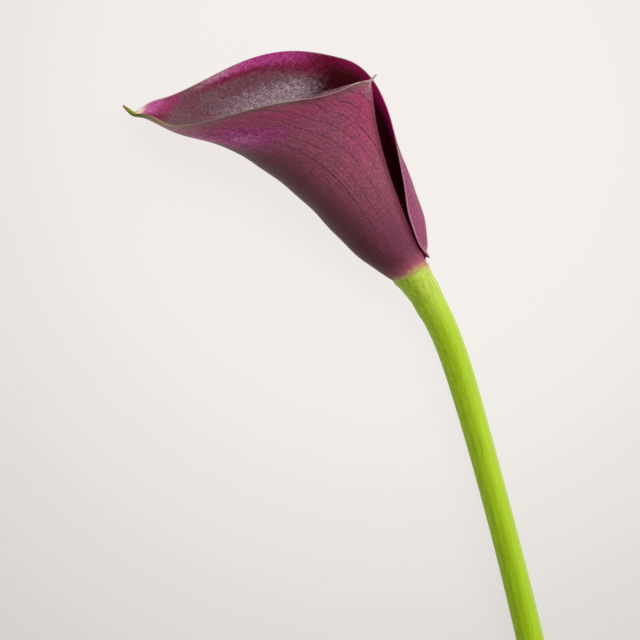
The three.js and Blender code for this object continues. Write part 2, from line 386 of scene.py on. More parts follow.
def makeSpathe():
    # Each row is a closed loop: over the outer face from the near to the far margin, round the
    # far margin, back over the inner face, and round the near margin.
    def spacing(s):
        # finer rows at the corner, at the foot and towards the tail
        return 0.5 - 0.36 * hump(s, earAt, 4) - 0.25 * hump(s, 4, 8) - 0.3 * ramp(s, 84, 92)

    at = spread(leafLength, spathe["rows"], spacing)
    wing = 1 - (1 - np.linspace(0, 1, spathe["wingColumns"] + 1)) ** 1.5  # finer by the margins
    over = np.concatenate([-wing[:0:-1], wing])
    along, across = np.meshgrid(at, over, indexing="ij")
    outer, inner = leafFaces(along, across)

    def rounding(column, neighbour):
        # half a circle from the outer to the inner margin, bulging away from the leaf
        middle = (outer[:, column] + inner[:, column]) / 2
        arm = (outer[:, column] - inner[:, column]) / 2
        away = outer[:, column] - outer[:, neighbour]
        share = (away * arm).sum(-1) / np.maximum((arm * arm).sum(-1), 1e-9)
        away = unit(away - arm * share[:, None])
        size = np.linalg.norm(arm, axis=-1, keepdims=True)
        turns = np.radians([45, 90, 135])
        return np.stack([middle + arm * math.cos(t) + away * size * math.sin(t) for t in turns], 1)

    farCap = rounding(-1, -2)
    nearCap = rounding(0, 1)[:, ::-1]
    rings = np.concatenate([outer, farCap, inner[:, ::-1], nearCap], 1)
    rings = pressed(toRow(rings))[:, ::-1]
    cap = np.ones((len(at), 3))
    columns = len(over)

    def ringValues(face, farValue, nearValue):
        return np.concatenate([cap * nearValue, face, cap * farValue, face[:, ::-1]], 1)

    widths = [np.interp(at, widthAt, width)[:, None] for width in wingWidth]
    arc = across * np.where(across < 0, widths[0], widths[1])
    values = {
        "along": np.repeat(at[:, None], rings.shape[1], 1),
        "across": ringValues(across, 1, -1),
        "arc": ringValues(arc, widths[1], -widths[0]),
        "margin": ringValues(marginDistance(along, across), 0, 0),
    }
    values["vein"] = values["arc"] / veinSpread(values["along"])

    def insideSlot(column):
        # the inner face and the rounded margins take the inside's paint
        return ((column >= 2) & (column < columns + 4)).astype(int)

    return gridObject("spathe_leaf", rings, "strip", values, insideSlot)


# The stem: its middle line in x and y before the shift, with its radius, and the neck that
# widens to the spathe's foot.
stem = {
    "route": [
        (4.8, -6.5, 5.1), (7.7, -11.6, 4.65), (10.2, -16.6, 4.4), (12.6, -22.9, 4.25),
        (14.5, -29.1, 4.15), (17.3, -41.7, 4), (19.7, -54.2, 4), (23.7, -79.2, 4),
        (27.2, -104, 4), (30.5, -131.8, 4), (32.9, -162.3, 4), (34, -192.5, 4),
        (34, -222.3, 4), (33.5, -237, 4),
    ],
    "radius": 4.0,
    "topRadius": 6.6,
    "neckLength": 56.0,
    "easeLength": 7.0,
    "lyingHeight": 3.97,
    "sides": 72,
    "rows": 330,
    "ribs": 0.045,
    # where below the foot, how much thicker it is there, and how far to the right it lies
    "girth": [
        (0, 0, 0), (1.2, 0, 0.1), (2.6, -0.75, 0.16), (4, -0.5, 0.16), (5.5, -0.08, 0.19),
        (7, 0.12, 0.27), (8.5, 0.1, 0.34), (10, 0.11, 0.26), (11.5, 0.08, 0.1), (13, 0.1, 0),
        (15, 0.07, 0.05), (18, 0.09, 0.05), (22, 0.1, 0.06), (32, 0.2, 0.02), (44, 0.2, 0.1),
        (58, 0.02, 0), (78, 0.04, 0.05), (94, 0.14, 0.14), (112, 0.16, 0.16), (150, 0.15, 0.15),
        (240, 0.15, 0.15),
    ],
    # the plug in the tube and the cut end: how far from the ring there, and its share of it
    "plug": [(0, 0.93), (0.6, 0.86), (1.5, 0.8), (2.2, 0.62)],
    "cutEnd": [(1.05, 0.1), (0.75, 0.45), (0.4, 0.8), (0.02, 0.93), (-0.15, 0.985)],
    "lowest": 0.02,
}


def makeStem():
    # Circles round the middle line, slightly ribbed, whose shape eases into the spathe's foot
    # ellipse at the top. Height follows a parabola over the neck and is level after it.
    top = footCentreRow - headShift
    plan = np.array([top[:2]] + [r[:2] for r in stem["route"]])
    at = cumulated(plan)
    length = at[-1]
    x = naturalSpline(at, plan[:, 0])
    y = naturalSpline(at, plan[:, 1])
    radiusAt = naturalSpline(at, [stem["topRadius"]] + [r[2] for r in stem["route"]])

    def centre(s):
        left = np.clip(1 - s / stem["neckLength"], 0, None)
        height = stem["lyingHeight"] + (top[2] - stem["lyingHeight"]) * left ** 2
        return np.stack([x(s), y(s), height], -1)

    def spacing(s):
        # finer rows by the spathe's foot and at the cut
        return 0.35 + 0.75 * ramp(s, 6, 40) - 0.8 * ramp(s, length - 4, length - 1)

    s = spread(length, stem["rows"], spacing)[::-1]
    step = 0.4
    way = unit(centre(np.maximum(s - step, 0)) - centre(np.minimum(s + step, length)))
    ease = (1 - ramp(s, 0, stem["easeLength"]))[:, None]
    way = unit(way * (1 - ease) + footAxisRow * ease)
    side = unit(np.cross([0, 0, 1.0], way))
    rise = np.cross(way, side)
    radius = np.where(s > stem["neckLength"], stem["radius"], radiusAt(s))
    girthAt, girth, right = zip(*stem["girth"])
    thicker = naturalSpline(girthAt, girth)(s)
    aside = naturalSpline(girthAt, right)(s)
    turn = np.arange(stem["sides"]) / stem["sides"] * 2 * math.pi
    ribs = np.sin(turn * 9 + 0.4) + 0.7 * np.sin(turn * 14 + 1.9 + s[:, None] * 0.004)
    uneven = ramp(s, 3, 14)  # plain by the foot
    ribs = (ribs + 0.5 * np.sin(turn * 23 + 0.7)) * stem["ribs"] * uneven[:, None]
    swell = 0.05 * np.sin(s * 0.11 + 0.8) + 0.04 * np.sin(s * 0.043)
    size = (radius + thicker + swell * uneven)[:, None] + ribs
    arm = side[:, None] * np.cos(turn)[:, None] + rise[:, None] * np.sin(turn)[:, None]
    # towards the top each point takes the radius of the foot's ellipse in its direction, which
    # is pulled in on the side of the seam
    deep = arm @ footOutRow / stations[0, 3]
    wide = arm @ footAcrossRow / stations[0, 4]
    ellipse = 1 / np.sqrt(deep ** 2 + wide ** 2)
    ellipse = ellipse - spathe["footPull"] * ramp(arm @ footOutRow, 0.1, 1.0)
    size = size * (1 - ease) + ellipse * ease
    middle = centre(s)
    stalk = (middle - side * aside[:, None])[:, None] + arm * size[..., None]
    stalk[..., 2] = np.maximum(stalk[..., 2], stem["lowest"])
    # the plug that stands in the tube, and the rounded rim of the cut
    plug = [top + (stalk[-1] - top) * share + footAxisRow * far for far, share in stem["plug"]]
    cut = middle[0]
    cutEnd = [cut + (stalk[0] - cut) * share + way[0] * far for far, share in stem["cutEnd"]]
    rings = np.concatenate([cutEnd, stalk, plug])
    rings[..., 2] = np.maximum(rings[..., 2], stem["lowest"])
    down = np.concatenate([np.full(len(cutEnd), s[0]), s, np.zeros(len(plug))])
    cutShare = np.zeros(len(rings))
    cutShare[:len(cutEnd)] = 1
    cutShare[len(cutEnd) - 1] = 0.4
    values = {
        "along": np.repeat(down[:, None], stem["sides"], 1),
        "cut": np.repeat(cutShare[:, None], stem["sides"], 1),
        "left": np.repeat(np.cos(turn)[None], len(rings), 0),
    }
    return gridObject("stem_stalk", rings + headShift, "fan", values, sharp=50)


# The spadix: a blunt finger that stands on the stem's top, covered in small domed florets.
spadix = {
    "length": 34.0,
    "radius": 3.25,
    "lean": 121.0,
    "standing": 2.0,
    "sides": 120,
    "rows": 200,
    "floretRows": 27,
    "floretsRound": 15,
    "twist": 2.0,
    "relief": 0.34,
}


def makeSpadix():
    # A profile turned about its axis: swelling from the foot and rounded at the tip. Florets
    # are domes on a staggered grid, the larger of two cosine products a half step apart.
    lean = math.radians(spadix["lean"])
    axis = np.array([math.cos(lean), math.sin(lean), 0])
    side = np.array([-math.sin(lean), math.cos(lean), 0])
    up = np.array([0, 0, 1.0])
    base = footCentre + footAxis * spadix["standing"]
    part = np.sin(np.linspace(0, math.pi / 2, spadix["rows"]))
    taper = np.sqrt(np.clip(1 - np.clip((part - 0.12) / 0.885, 0, 1) ** 4, 0, None))
    radius = spadix["radius"] * np.minimum(taper, 0.8 + part)
    turn = np.arange(spadix["sides"]) / spadix["sides"] * 2 * math.pi
    rowsPhase = part[:, None] * spadix["floretRows"] * math.pi
    roundPhase = turn[None] * spadix["floretsRound"] / 2 + part[:, None] * spadix["twist"]
    one = np.abs(np.sin(rowsPhase) * np.sin(roundPhase))
    two = np.abs(np.cos(rowsPhase) * np.cos(roundPhase))
    dome = np.maximum(one, two) ** 0.7
    fade = ramp(radius, 0.3, 2.2)[:, None]
    size = radius[:, None] + spadix["relief"] * (dome - 0.6) * fade
    ring = side * np.cos(turn)[:, None] + up * np.sin(turn)[:, None]
    middle = base + axis * (part * spadix["length"])[:, None]
    rings = middle[:, None] + ring[None] * np.maximum(size, 0.02)[..., None]
    return gridObject("spadix_finger", toRow(rings), "fan", {"dome": dome})


# Node helpers. Numbers, sockets and colours go in and a socket comes out, and each new node
# joins the tree of the sockets that it takes.
def put(socket, value):
    if isinstance(value, bpy.types.NodeSocket):
        socket.id_data.links.new(value, socket)
    elif value is not None:
        socket.default_value = (*value, 1) if socket.type == "RGBA" else value


def newNode(kind, values, **settings):
    # the values go into the inputs with those names or numbers
    sockets = [value for value in values.values() if isinstance(value, bpy.types.NodeSocket)]
    node = sockets[0].id_data.nodes.new(kind)
    for key, setting in settings.items():
        setattr(node, key, setting)
    for key, value in values.items():
        put(node.inputs[key], value)
    return node


def calculate(operation, *values):
    return newNode("ShaderNodeMath", dict(enumerate(values)), operation=operation).outputs[0]


def add(a, b):
    return calculate("ADD", a, b)


def minus(a, b):
    return calculate("SUBTRACT", a, b)


def larger(a, b):
    return calculate("MAXIMUM", a, b)


def times(*values):
    result = values[0]
    for value in values[1:]:
        result = calculate("MULTIPLY", result, value)
    return result


def dot(a, b):
    return newNode("ShaderNodeVectorMath", {0: a, 1: b}, operation="DOT_PRODUCT").outputs["Value"]


def distance(a, b):
    return newNode("ShaderNodeVectorMath", {0: a, 1: b}, operation="DISTANCE").outputs["Value"]


def scaled(colour, amount):
    values = {0: colour, "Scale": amount}
    return newNode("ShaderNodeVectorMath", values, operation="SCALE").outputs[0]


def vector(x, y, z):
    return newNode("ShaderNodeCombineXYZ", {0: x, 1: y, 2: z}).outputs[0]


def smooth(value, low, high, bottom=0.0, top=1.0):
    # from bottom at low to top at high, in a smooth S
    values = dict(enumerate((value, low, high, bottom, top)))
    return newNode("ShaderNodeMapRange", values, interpolation_type="SMOOTHSTEP").outputs[0]


def bell(value, centre, reach):
    # 1 at the centre and 0 at the reach on either side
    return smooth(calculate("ABSOLUTE", minus(value, centre)), 0.0, reach, 1.0, 0.0)


def noise(place, scale, detail=2.0, roughness=0.5):
    values = {"Vector": place, "Scale": scale, "Detail": detail, "Roughness": roughness}
    return newNode("ShaderNodeTexNoise", values).outputs["Fac"]


def mix(factor, a, b):
    return newNode("ShaderNodeMix", {0: factor, 6: a, 7: b}, data_type="RGBA").outputs[2]


def veins(vein, along, spacing, thin, soft, wobble, seed):
    # thin lines on which the vein coordinate keeps its value, spaced evenly in mm but for a
    # slow wobble, each with a strength of its own that also comes and goes along the leaf
    drift = noise(vector(times(along, 0.05), times(vein, 0.07), seed), 1.0)
    phase = add(times(vein, 1 / spacing), times(minus(drift, 0.5), wobble))
    # moved by whole lines, so that none of the phases is below 0
    away = calculate("ABSOLUTE", minus(calculate("FRACT", add(phase, 50.0)), 0.5))
    line = smooth(away, thin, thin + soft, 1.0, 0.0)
    number = add(calculate("FLOOR", phase), seed)
    own = newNode("ShaderNodeTexWhiteNoise", {"W": number}, noise_dimensions="1D")
    strength = calculate("MULTIPLY_ADD", own.outputs["Value"], 0.7, 0.3)
    broken = smooth(noise(vector(times(along, 0.35), phase, seed), 1.0), 0.3, 0.6, 0.35, 1.0)
    return times(line, strength, broken)


def sharesOf(places, along):
    # looks up a colour's places by its name, and gives its share at each point of the leaf
    def here(name, at=along):
        return times(*[smooth(at, *pair) for pair in places[name]])

    return here


class Paint:
    # a material, and the colour that is painted on it so far
    def __init__(self, name, roughness, sheen=0.0, specular=0.5, sheenTint=(1, 1, 1)):
        self.material = bpy.data.materials.new(name)
        self.material.use_nodes = True
        self.nodes = self.material.node_tree.nodes
        self.inputs = self.nodes["Principled BSDF"].inputs
        put(self.inputs["Roughness"], roughness)
        put(self.inputs["Specular IOR Level"], specular)
        put(self.inputs["Sheen Weight"], sheen)
        put(self.inputs["Sheen Roughness"], 0.4)
        put(self.inputs["Sheen Tint"], sheenTint)
        self.colour = None

    def value(self, name):
        # a value that the mesh carries at its points
        node = self.nodes.new("ShaderNodeAttribute")
        node.attribute_name = name
        return node.outputs["Fac"]

    def place(self):
        return self.nodes.new("ShaderNodeTexCoord").outputs["Object"]

    def over(self, colour, *factors):
        # lays a colour over what is painted so far, by the product of the factors
        self.colour = mix(times(*factors), self.colour, colour)

    def shade(self, amount):
        self.colour = scaled(self.colour, amount)

    def bump(self, height, depth):
        # the depth is in mm
        values = {"Height": height, "Distance": depth * millimetre, "Strength": 1.0}
        put(self.inputs["Normal"], newNode("ShaderNodeBump", values).outputs[0])

    def done(self, roughness=None):
        put(self.inputs["Base Color"], self.colour)
        put(self.inputs["Roughness"], roughness)
        return self.material


spatheColours = {
    # outside
    "plum": (0.322, 0.08, 0.133),
    "plumBase": (0.21, 0.047, 0.088),
    "rose": (0.41, 0.035, 0.13),
    "dark": (0.088, 0.016, 0.026),
    "violet": (0.4, 0.032, 0.22),
    "lilacHighlight": (0.88, 0.27, 0.7),
    "mauve": (0.4, 0.155, 0.27),
    "bruise": (0.43, 0.042, 0.215),
    "mesh": (0.19, 0.082, 0.088),
    "vein": (0.095, 0.036, 0.04),
    "rim": (0.225, 0.08, 0.1),
    "foldShade": (0.055, 0.012, 0.018),
    "under": (0.2, 0.052, 0.07),
    "seam": (0.14, 0.01, 0.034),
    "flap": (0.335, 0.07, 0.168),
    "tailPink": (0.42, 0.17, 0.2),
    "olive": (0.3, 0.215, 0.135),
    "oliveDark": (0.19, 0.155, 0.034),
    "edge": (0.58, 0.44, 0.4),
    "lip": (0.27, 0.165, 0.16),
    "rimOlive": (0.17, 0.095, 0.072),
    "corner": (0.42, 0.16, 0.23),
    "spur": (0.62, 0.4, 0.43),
    "footPink": (0.46, 0.105, 0.175),
    "hookPink": (0.62, 0.24, 0.34),
    # inside
    "burgundy": (0.166, 0.08, 0.098),
    "bloom": (0.385, 0.292, 0.337),
    "maroon": (0.05, 0.002, 0.006),
    "wine": (0.125, 0.003, 0.022),
    "crimson": (0.19, 0.013, 0.046),
    "magenta": (0.43, 0.044, 0.225),
    "ruby": (0.55, 0.004, 0.17),
    "throat": (0.24, 0.032, 0.085),
    "patch": (0.32, 0.044, 0.13),
    "pale": (0.61, 0.15, 0.39),
    "rimMauve": (0.5, 0.22, 0.33),
    "cream": (0.85, 0.66, 0.58),
    "edgeFar": (0.55, 0.46, 0.27),
    "edgePink": (0.64, 0.3, 0.41),
    # tail and foot
    "tailGreen": (0.27, 0.34, 0.03),
    "tailDark": (0.085, 0.115, 0.014),
    "tip": (0.4, 0.15, 0.03),
    "fringe": (0.54, 0.62, 0.11),
    "fringeCream": (0.61, 0.4, 0.18),
}

# The border between the spathe's foot and the stem. Pink, cream and green start and end at
# heights in mm over the foot's plane, and the streaks and patches move them up and down.
foot = {
    "streaks": 8.0,
    "patches": 4.0,
    "lowerBySeam": 2.3,
    "seamOut": (1.0, 7.0),
    "shade": 0.36,
    "shadeOut": (-7.0, 1.5),
    "pink": (8.5, 2.5, 0.0, 0.8),
    "pinkStreaks": 2.2,
    "cream": (3.1, 0.3),
    "green": (1.6, -1.4),
    "greenStreaks": (-18, -3, 0.0, 1.3),
}


def footBorder(paint, green):
    # A pink blush, cream and then green, with borders that run out in streaks along the foot's
    # axis. The first two are darkened by painted shade on the side away from the seam, and all lie
    # lower by it.
    place = paint.place()
    scale = 1 / millimetre
    height = minus(dot(place, footAxisRow * scale), float(footAxisRow @ footCentreRow))
    side = dot(place, footOutRow * scale)
    across = dot(place, footAcrossRow * scale)
    streakPlace = vector(times(side, 2.0), times(across, 2.0), times(height, 0.12))
    streaks = minus(noise(streakPlace, 1.0, 2.0, 0.6), 0.5)
    patches = minus(noise(vector(side, across, 3.3), 0.22, 1.0), 0.5)
    ragged = add(height, add(times(streaks, foot["streaks"]), times(patches, foot["patches"])))
    out = minus(side, float(footOutRow @ footCentreRow))
    ragged = add(ragged, smooth(out, *foot["seamOut"], 0.0, foot["lowerBySeam"]))
    # painted shade: the pink and cream are darker on the side away from the seam, the shaded side
    deep = smooth(out, *foot["shadeOut"], foot["shade"], 1.0)
    pink = times(deep, add(1.0, times(streaks, foot["pinkStreaks"])))
    paint.over(scaled(spatheColours["footPink"], pink), smooth(ragged, *foot["pink"]))
    paint.over(scaled(spatheColours["fringeCream"], deep), smooth(ragged, *foot["cream"]))
    fibrous = add(1.0, times(streaks, smooth(height, *foot["greenStreaks"])))
    paint.over(scaled(green, fibrous), smooth(ragged, *foot["green"]))


# Where the colours lie along the leaf, in mm from the foot: from none of a colour to all of it.
# The pairs called "At" are the middle and the reach to either side. Those called "Across" go
# from -1 at the near margin to 1 at the far one.
outside = {
    "plum": [(12, 40)],
    "rose": [(36, 50)],
    "bruise": [(42, 56)],
    "beneathAcross": [(-0.74, -0.6), (-0.28, -0.4)],
    "violetAt": (66, 11),
    "mauve": [(73, 79)],
    "lilacHighlightAt": (66.6, 5.2),
    "lilacHighlightAcrossAt": (-0.5, 0.1),
    "darkSlant": -0.0052,
    "dark": [(76, 58)],
    "under": [(34, 54)],
    "seam": [(52, 45), (3, 9)],
    "flap": [(50, 34)],
    "hook": [(9, 4)],
    "tailPink": [(78, 88)],
    "rim": [(47, 55), (88, 82)],
    "corner": [(49.5, 52.5), (57, 53)],
    "creaseAt": (63, 11),
    "foldAt": (69, 10),
    "veinSpacing": 4.0,
    "smallVeinSpacing": 1.33,
    "rimOlive": [(62, 72)],
    "lipAt": (62.6, 9),
    "edge": [(54, 60)],
    "edgePink": [(44, 36)],
    "olive": [(80, 87)],
    "oliveDark": [(83, 88)],
    "edgeFar": [(81.5, 86), (92, 89)],
    "spurReach": 2.2,
    "green": [(90, 93.5)],
    "tip": [(97, 98.8)],
    "bump": 0.09,
}


def outsideMaterial():
    c, at = spatheColours, outside
    paint = Paint("spathe outside", 0.45, specular=0.1)
    along, across, margin, vein = map(paint.value, ("along", "across", "margin", "vein"))
    here = sharesOf(at, along)
    patches = noise(vector(along, vein, 0.0), 0.1, 3.0, 0.6)
    blotches = noise(vector(along, vein, 5.0), 0.33, 3.0, 0.65)
    spots = noise(vector(along, vein, 1.0), 1.05, 3.0, 0.65)
    byNearRim = smooth(across, 0, -0.5)
    # plum, rosier by the margin but for the lip, with bruises of magenta
    paint.colour = mix(here("plum"), c["plumBase"], c["plum"])
    lipSide = times(smooth(margin, 9, 4), smooth(along, 53, 57))
    rose = times(smooth(margin, 17, 3), here("rose"), 0.8)
    paint.over(c["rose"], rose, minus(1.0, lipSide))
    bruised = times(smooth(spots, 0.5, 0.62), smooth(blotches, 0.38, 0.6))
    bruised = times(bruised, here("bruise"))
    paint.over(c["bruise"], bruised, smooth(across, -0.5, -0.75, 0.35, 0.85))
    # the violet patch beneath the lip, with a painted lilac highlight
    beneath = here("beneathAcross", across)
    violet = times(bell(along, *at["violetAt"]), beneath)
    paint.over(c["violet"], violet, smooth(spots, 0.35, 0.62, 0.45, 1.0))
    paint.over(c["mauve"], here("mauve"), beneath, 0.7)
    # a painted highlight: lilac where the ridge beneath the lip catches the light
    lilacHighlight = times(bell(along, *at["lilacHighlightAt"]), bell(across, *at["lilacHighlightAcrossAt"]))
    paint.over(c["lilacHighlight"], lilacHighlight, smooth(spots, 0.35, 0.6, 0.45, 1.0))
    # painted shade on the side that turns away from the lamps, and the colours by the seam and at
    # the tail
    shadow = add(across, times(along, at["darkSlant"]))
    dark = times(smooth(shadow, -0.86, -0.50), smooth(across, 0.55, 0.1))
    paint.over(c["dark"], dark, here("dark"))
    below = times(smooth(across, -0.19, -0.06), smooth(across, 0.5, 0.2))
    paint.over(c["under"], below, here("under"), 0.9)
    paint.over(c["seam"], smooth(margin, 3.2, 0.4), here("seam"), byNearRim, 0.85)
    paint.over(c["flap"], smooth(across, 0.5, 0.8), here("flap"))
    paint.over(c["hookPink"], smooth(across, 0.7, 0.95), here("hook"))
    paint.over(c["tailPink"], here("tailPink", add(along, times(patches, 6))))
    paint.over(c["rim"], smooth(margin, 4.4, 1.2), here("rim"), 0.85)
    paint.over(c["corner"], smooth(margin, 5, 1), here("corner"), 0.9)
    # painted shade along a soft crease low on the near side, from the violet part to the foot, and
    # along a fold
    crease = bell(minus(across, smooth(along, 55, 70, -0.16, -0.27)), 0.0, 0.05)
    paint.over(c["foldShade"], crease, bell(along, *at["creaseAt"]), 0.8)
    foldShade = bell(add(across, times(along, 0.0045)), -0.232, 0.02)
    paint.over(c["dark"], foldShade, bell(along, *at["foldAt"]), 0.75)
    # a greenish mesh of fine grain, streaks along the veins, and the veins
    fine = noise(vector(along, vein, 4.0), 2.1, 2.0, 0.65)
    streak = noise(vector(times(along, 0.14), vein, 9.0), 2.4, 2.0, 0.6)
    paint.over(c["mesh"], smooth(fine, 0.5, 0.7, 0.0, 0.5))
    paint.over(c["mesh"], smooth(streak, 0.5, 0.75, 0.0, 0.4))
    paint.over(c["violet"], beneath, bell(along, 70, 13), smooth(spots, 0.3, 0.6, 0.25, 0.65))
    mottle = minus(noise(vector(along, vein, 6.0), 1.6, 1.0), 0.5)
    paint.shade(add(1.0, times(mottle, beneath, bell(along, 69, 15), 2.6)))
    paint.shade(times(smooth(fine, 0.3, 0.6, 1.42, 0.88), smooth(streak, 0.25, 0.75, 1.12, 0.88)))
    paint.shade(add(1.0, times(minus(streak, 0.5), smooth(along, 36, 10, 0.0, 1.5))))
    main = veins(vein, along, at["veinSpacing"], 0.035, 0.06, 0.34, 3.7)
    small = veins(vein, along, at["smallVeinSpacing"], 0.05, 0.2, 0.55, 8.1)
    lines = times(larger(main, times(small, 0.4)), smooth(along, 8, 30, 0.4, 1.0))
    paint.over(c["vein"], lines, 0.85)
    # the near rim's dull border, the folded lip and its pale edge
    border = times(smooth(margin, 1.5, 0.5), here("rimOlive"))
    border = times(border, smooth(along, 82, 75, 0.5, 1.0), smooth(across, 0, -0.4))
    paint.over(c["rimOlive"], border, 0.8)
    paint.over(c["lip"], smooth(margin, 2.3, 1.6), bell(along, *at["lipAt"]))
    hem = smooth(margin, 0.4, 0.15)
    paint.over(c["edge"], hem, here("edge"), smooth(along, 72, 64, 0.25, 1.0))
    hemFar = times(smooth(margin, 0.55, 0.15), smooth(across, 0.0, 0.3))
    paint.over(c["edgePink"], hemFar, here("edgePink"), 0.5)
    # olive towards the tail, the spur, the green tail with its brown tip, and the foot
    paint.over(c["olive"], smooth(margin, 4.6, 2.0), here("olive"))
    paint.over(c["oliveDark"], smooth(margin, 1.6, 0.7), here("oliveDark"))
    paint.over(c["edgeFar"], hem, here("edgeFar"), 0.9)
    paint.over(c["spur"], bell(along, earAt, at["spurReach"]), smooth(margin, 1.2, 0.4), byNearRim)
    late = add(along, times(minus(streak, 0.5), 4))
    tail = mix(smooth(blotches, 0.4, 0.6), c["tailGreen"], c["tailDark"])
    paint.over(tail, here("green", late))
    paint.over(c["tip"], here("tip", late))
    footBorder(paint, scaled(c["fringe"], smooth(streak, 0.3, 0.7, 0.85, 1.12)))
    paint.bump(add(times(fine, 0.5), times(lines, -0.8)), at["bump"])
    return paint.done(smooth(fine, 0.3, 0.7, 0.4, 0.52))


inside = {
    "bloomSheenAcross": (0.89, 0.74),
    "bloom": [(78, 57.5)],
    "clearFrom": 63,
    "clearSlope": 0.024,
    "crimson": [(85, 76)],
    "wine": [(69, 60)],
    "magenta": [(62.5, 70.5), (82, 75)],
    "rimMauveAt": (79, 5.5),
    "maroon": [(45, 36)],
    "throat": [(30, 18)],
    "ruby": [(52, 45), (2, 14)],
    "patch": [(83, 87.5)],
    "pale": [(88, 91.6)],
    "cream": [(91.7, 93.3)],
    "hook": [(15, 6)],
    "edgePink": [(84, 76)],
    "edgeFar": [(74, 82)],
    "green": [(93.5, 95.5)],
    "bump": 0.14,
}


def insideMaterial():
    c, at = spatheColours, inside
    paint = Paint("spathe inside", 0.4, specular=0.05)
    along, across, arc, margin = map(paint.value, ("along", "across", "arc", "margin"))
    here = sharesOf(at, along)
    patches = noise(vector(along, arc, 2.0), 0.12, 3.0, 0.6)
    rough = noise(vector(along, arc, 7.0), 0.7, 2.0, 0.6)
    fine = noise(vector(times(along, 1.4), times(arc, 0.8), 2.0), 1.9, 3.0, 0.7)
    hairs = noise(vector(times(along, 2.2), times(arc, 0.85), 3.0), 1.0, 2.0, 0.7)
    streak = noise(vector(times(along, 0.3), arc, 6.0), 1.6, 2.0, 0.6)
    wobble = minus(rough, 0.5)
    ragged = add(along, times(wobble, 9.0))
    paint.colour = mix(smooth(patches, 0.4, 0.7, 0.0, 0.35), c["burgundy"], c["crimson"])
    # a grey bloom with a painted sheen half way, which keeps clear of the far margin and more so
    # towards the tail
    clear = times(larger(add(ragged, -at["clearFrom"]), 0.0), at["clearSlope"])
    clear = add(add(across, clear), smooth(along, 67, 59, 0.0, 0.035))
    # partly a waxy bloom, partly a painted reflection of the key lamp, with its speckle as painted
    # glints
    bloom = times(smooth(clear, *at["bloomSheenAcross"]), here("bloom", ragged))
    speckle = times(smooth(fine, 0.36, 0.6, 0.7, 1.12), smooth(hairs, 0.36, 0.6, 0.65, 1.12))
    paint.over(c["bloom"], bloom, smooth(across, -0.6, 0.0), speckle)
    # towards the far margin: crimson, then a magenta band that darkens to wine by the tube, as
    # painted shade
    wavy = add(margin, times(wobble, 4.0))
    far = smooth(across, 0.3, 0.6)
    paint.over(c["crimson"], far, smooth(wavy, 10, 5), here("crimson"))
    band = times(far, smooth(wavy, 5.8, 2.6))
    paint.over(c["wine"], band, here("wine"))
    paint.over(c["magenta"], band, here("magenta"))
    paint.over(c["rimMauve"], far, smooth(wavy, 4.6, 1.6), bell(along, *at["rimMauveAt"]), 0.75)
    # painted shade of dark maroon into the tube, painted light by the seam, and a ruby glow by the
    # far margin
    depth = add(ragged, times(larger(across, 0.0), -22.0))
    paint.over(c["maroon"], here("maroon", depth), smooth(margin, 1.0, 5))
    # painted light: the crevice by the seam is painted lighter against its shade
    paint.over(c["throat"], here("throat"), smooth(across, 0.4, 0.6), 0.6)
    # painted light: the far margin's own red, made bright as light shining through the thin petal
    paint.over(c["ruby"], far, smooth(margin, 3.2, 0.4), smooth(along, 63, 56, 0.0, 0.3))
    thinner = add(margin, smooth(along, 38, 45, 0.0, 1.8))
    paint.over(c["ruby"], far, smooth(thinner, 8, 0.8), here("ruby"))
    # the tail: a magenta patch, pale pink and cream
    late = add(times(wobble, 3.0), times(minus(patches, 0.5), 6.0))
    late = add(along, late)
    paint.over(c["crimson"], smooth(late, 83, 87), smooth(across, 0.5, 0.2))
    paint.over(c["patch"], here("patch", late), smooth(across, 0.25, 0.55))
    pale = times(here("pale", late), smooth(rough, 0.3, 0.65, 0.7, 1.0))
    paint.over(c["pale"], pale, smooth(across, -0.2, 0.4, 0.3, 1.0))
    paint.over(c["cream"], here("cream"))
    paint.over(c["hookPink"], here("hook"), smooth(across, 0.6, 0.9))
    # grain, which is calmer towards the tail
    calm = smooth(along, 84, 91, 1.0, 0.5)
    paint.shade(add(1.0, times(smooth(fine, 0.32, 0.68, -0.26, 0.28), calm)))
    paint.shade(add(1.0, times(smooth(hairs, 0.32, 0.68, -0.28, 0.3), calm)))
    paint.shade(smooth(streak, 0.25, 0.75, 0.9, 1.1))
    # the thin edge, the green of the tail and its brown tip
    thin = smooth(margin, 0.35, 0.1)
    paint.over(c["edgePink"], thin, here("edgePink"), 0.3)
    paint.over(c["edgeFar"], thin, here("edgeFar"), 0.8)
    paint.over(c["tailGreen"], here("green"))
    paint.over(c["tip"], smooth(along, *outside["tip"][0]))
    paint.bump(add(fine, times(rough, 0.5)), at["bump"])
    return paint.done(smooth(fine, 0.3, 0.7, 0.34, 0.48))


stemColours = {
    "green": (0.335, 0.565, 0.001),
    "light": (0.46, 0.68, 0.02),
    "olive": (0.22, 0.36, 0.001),
    "pale": (0.60, 0.68, 0.30),
    "top": (0.575, 0.71, 0.13),
    "pith": (0.55, 0.62, 0.3),
    "dry": (0.35, 0.28, 0.1),
}


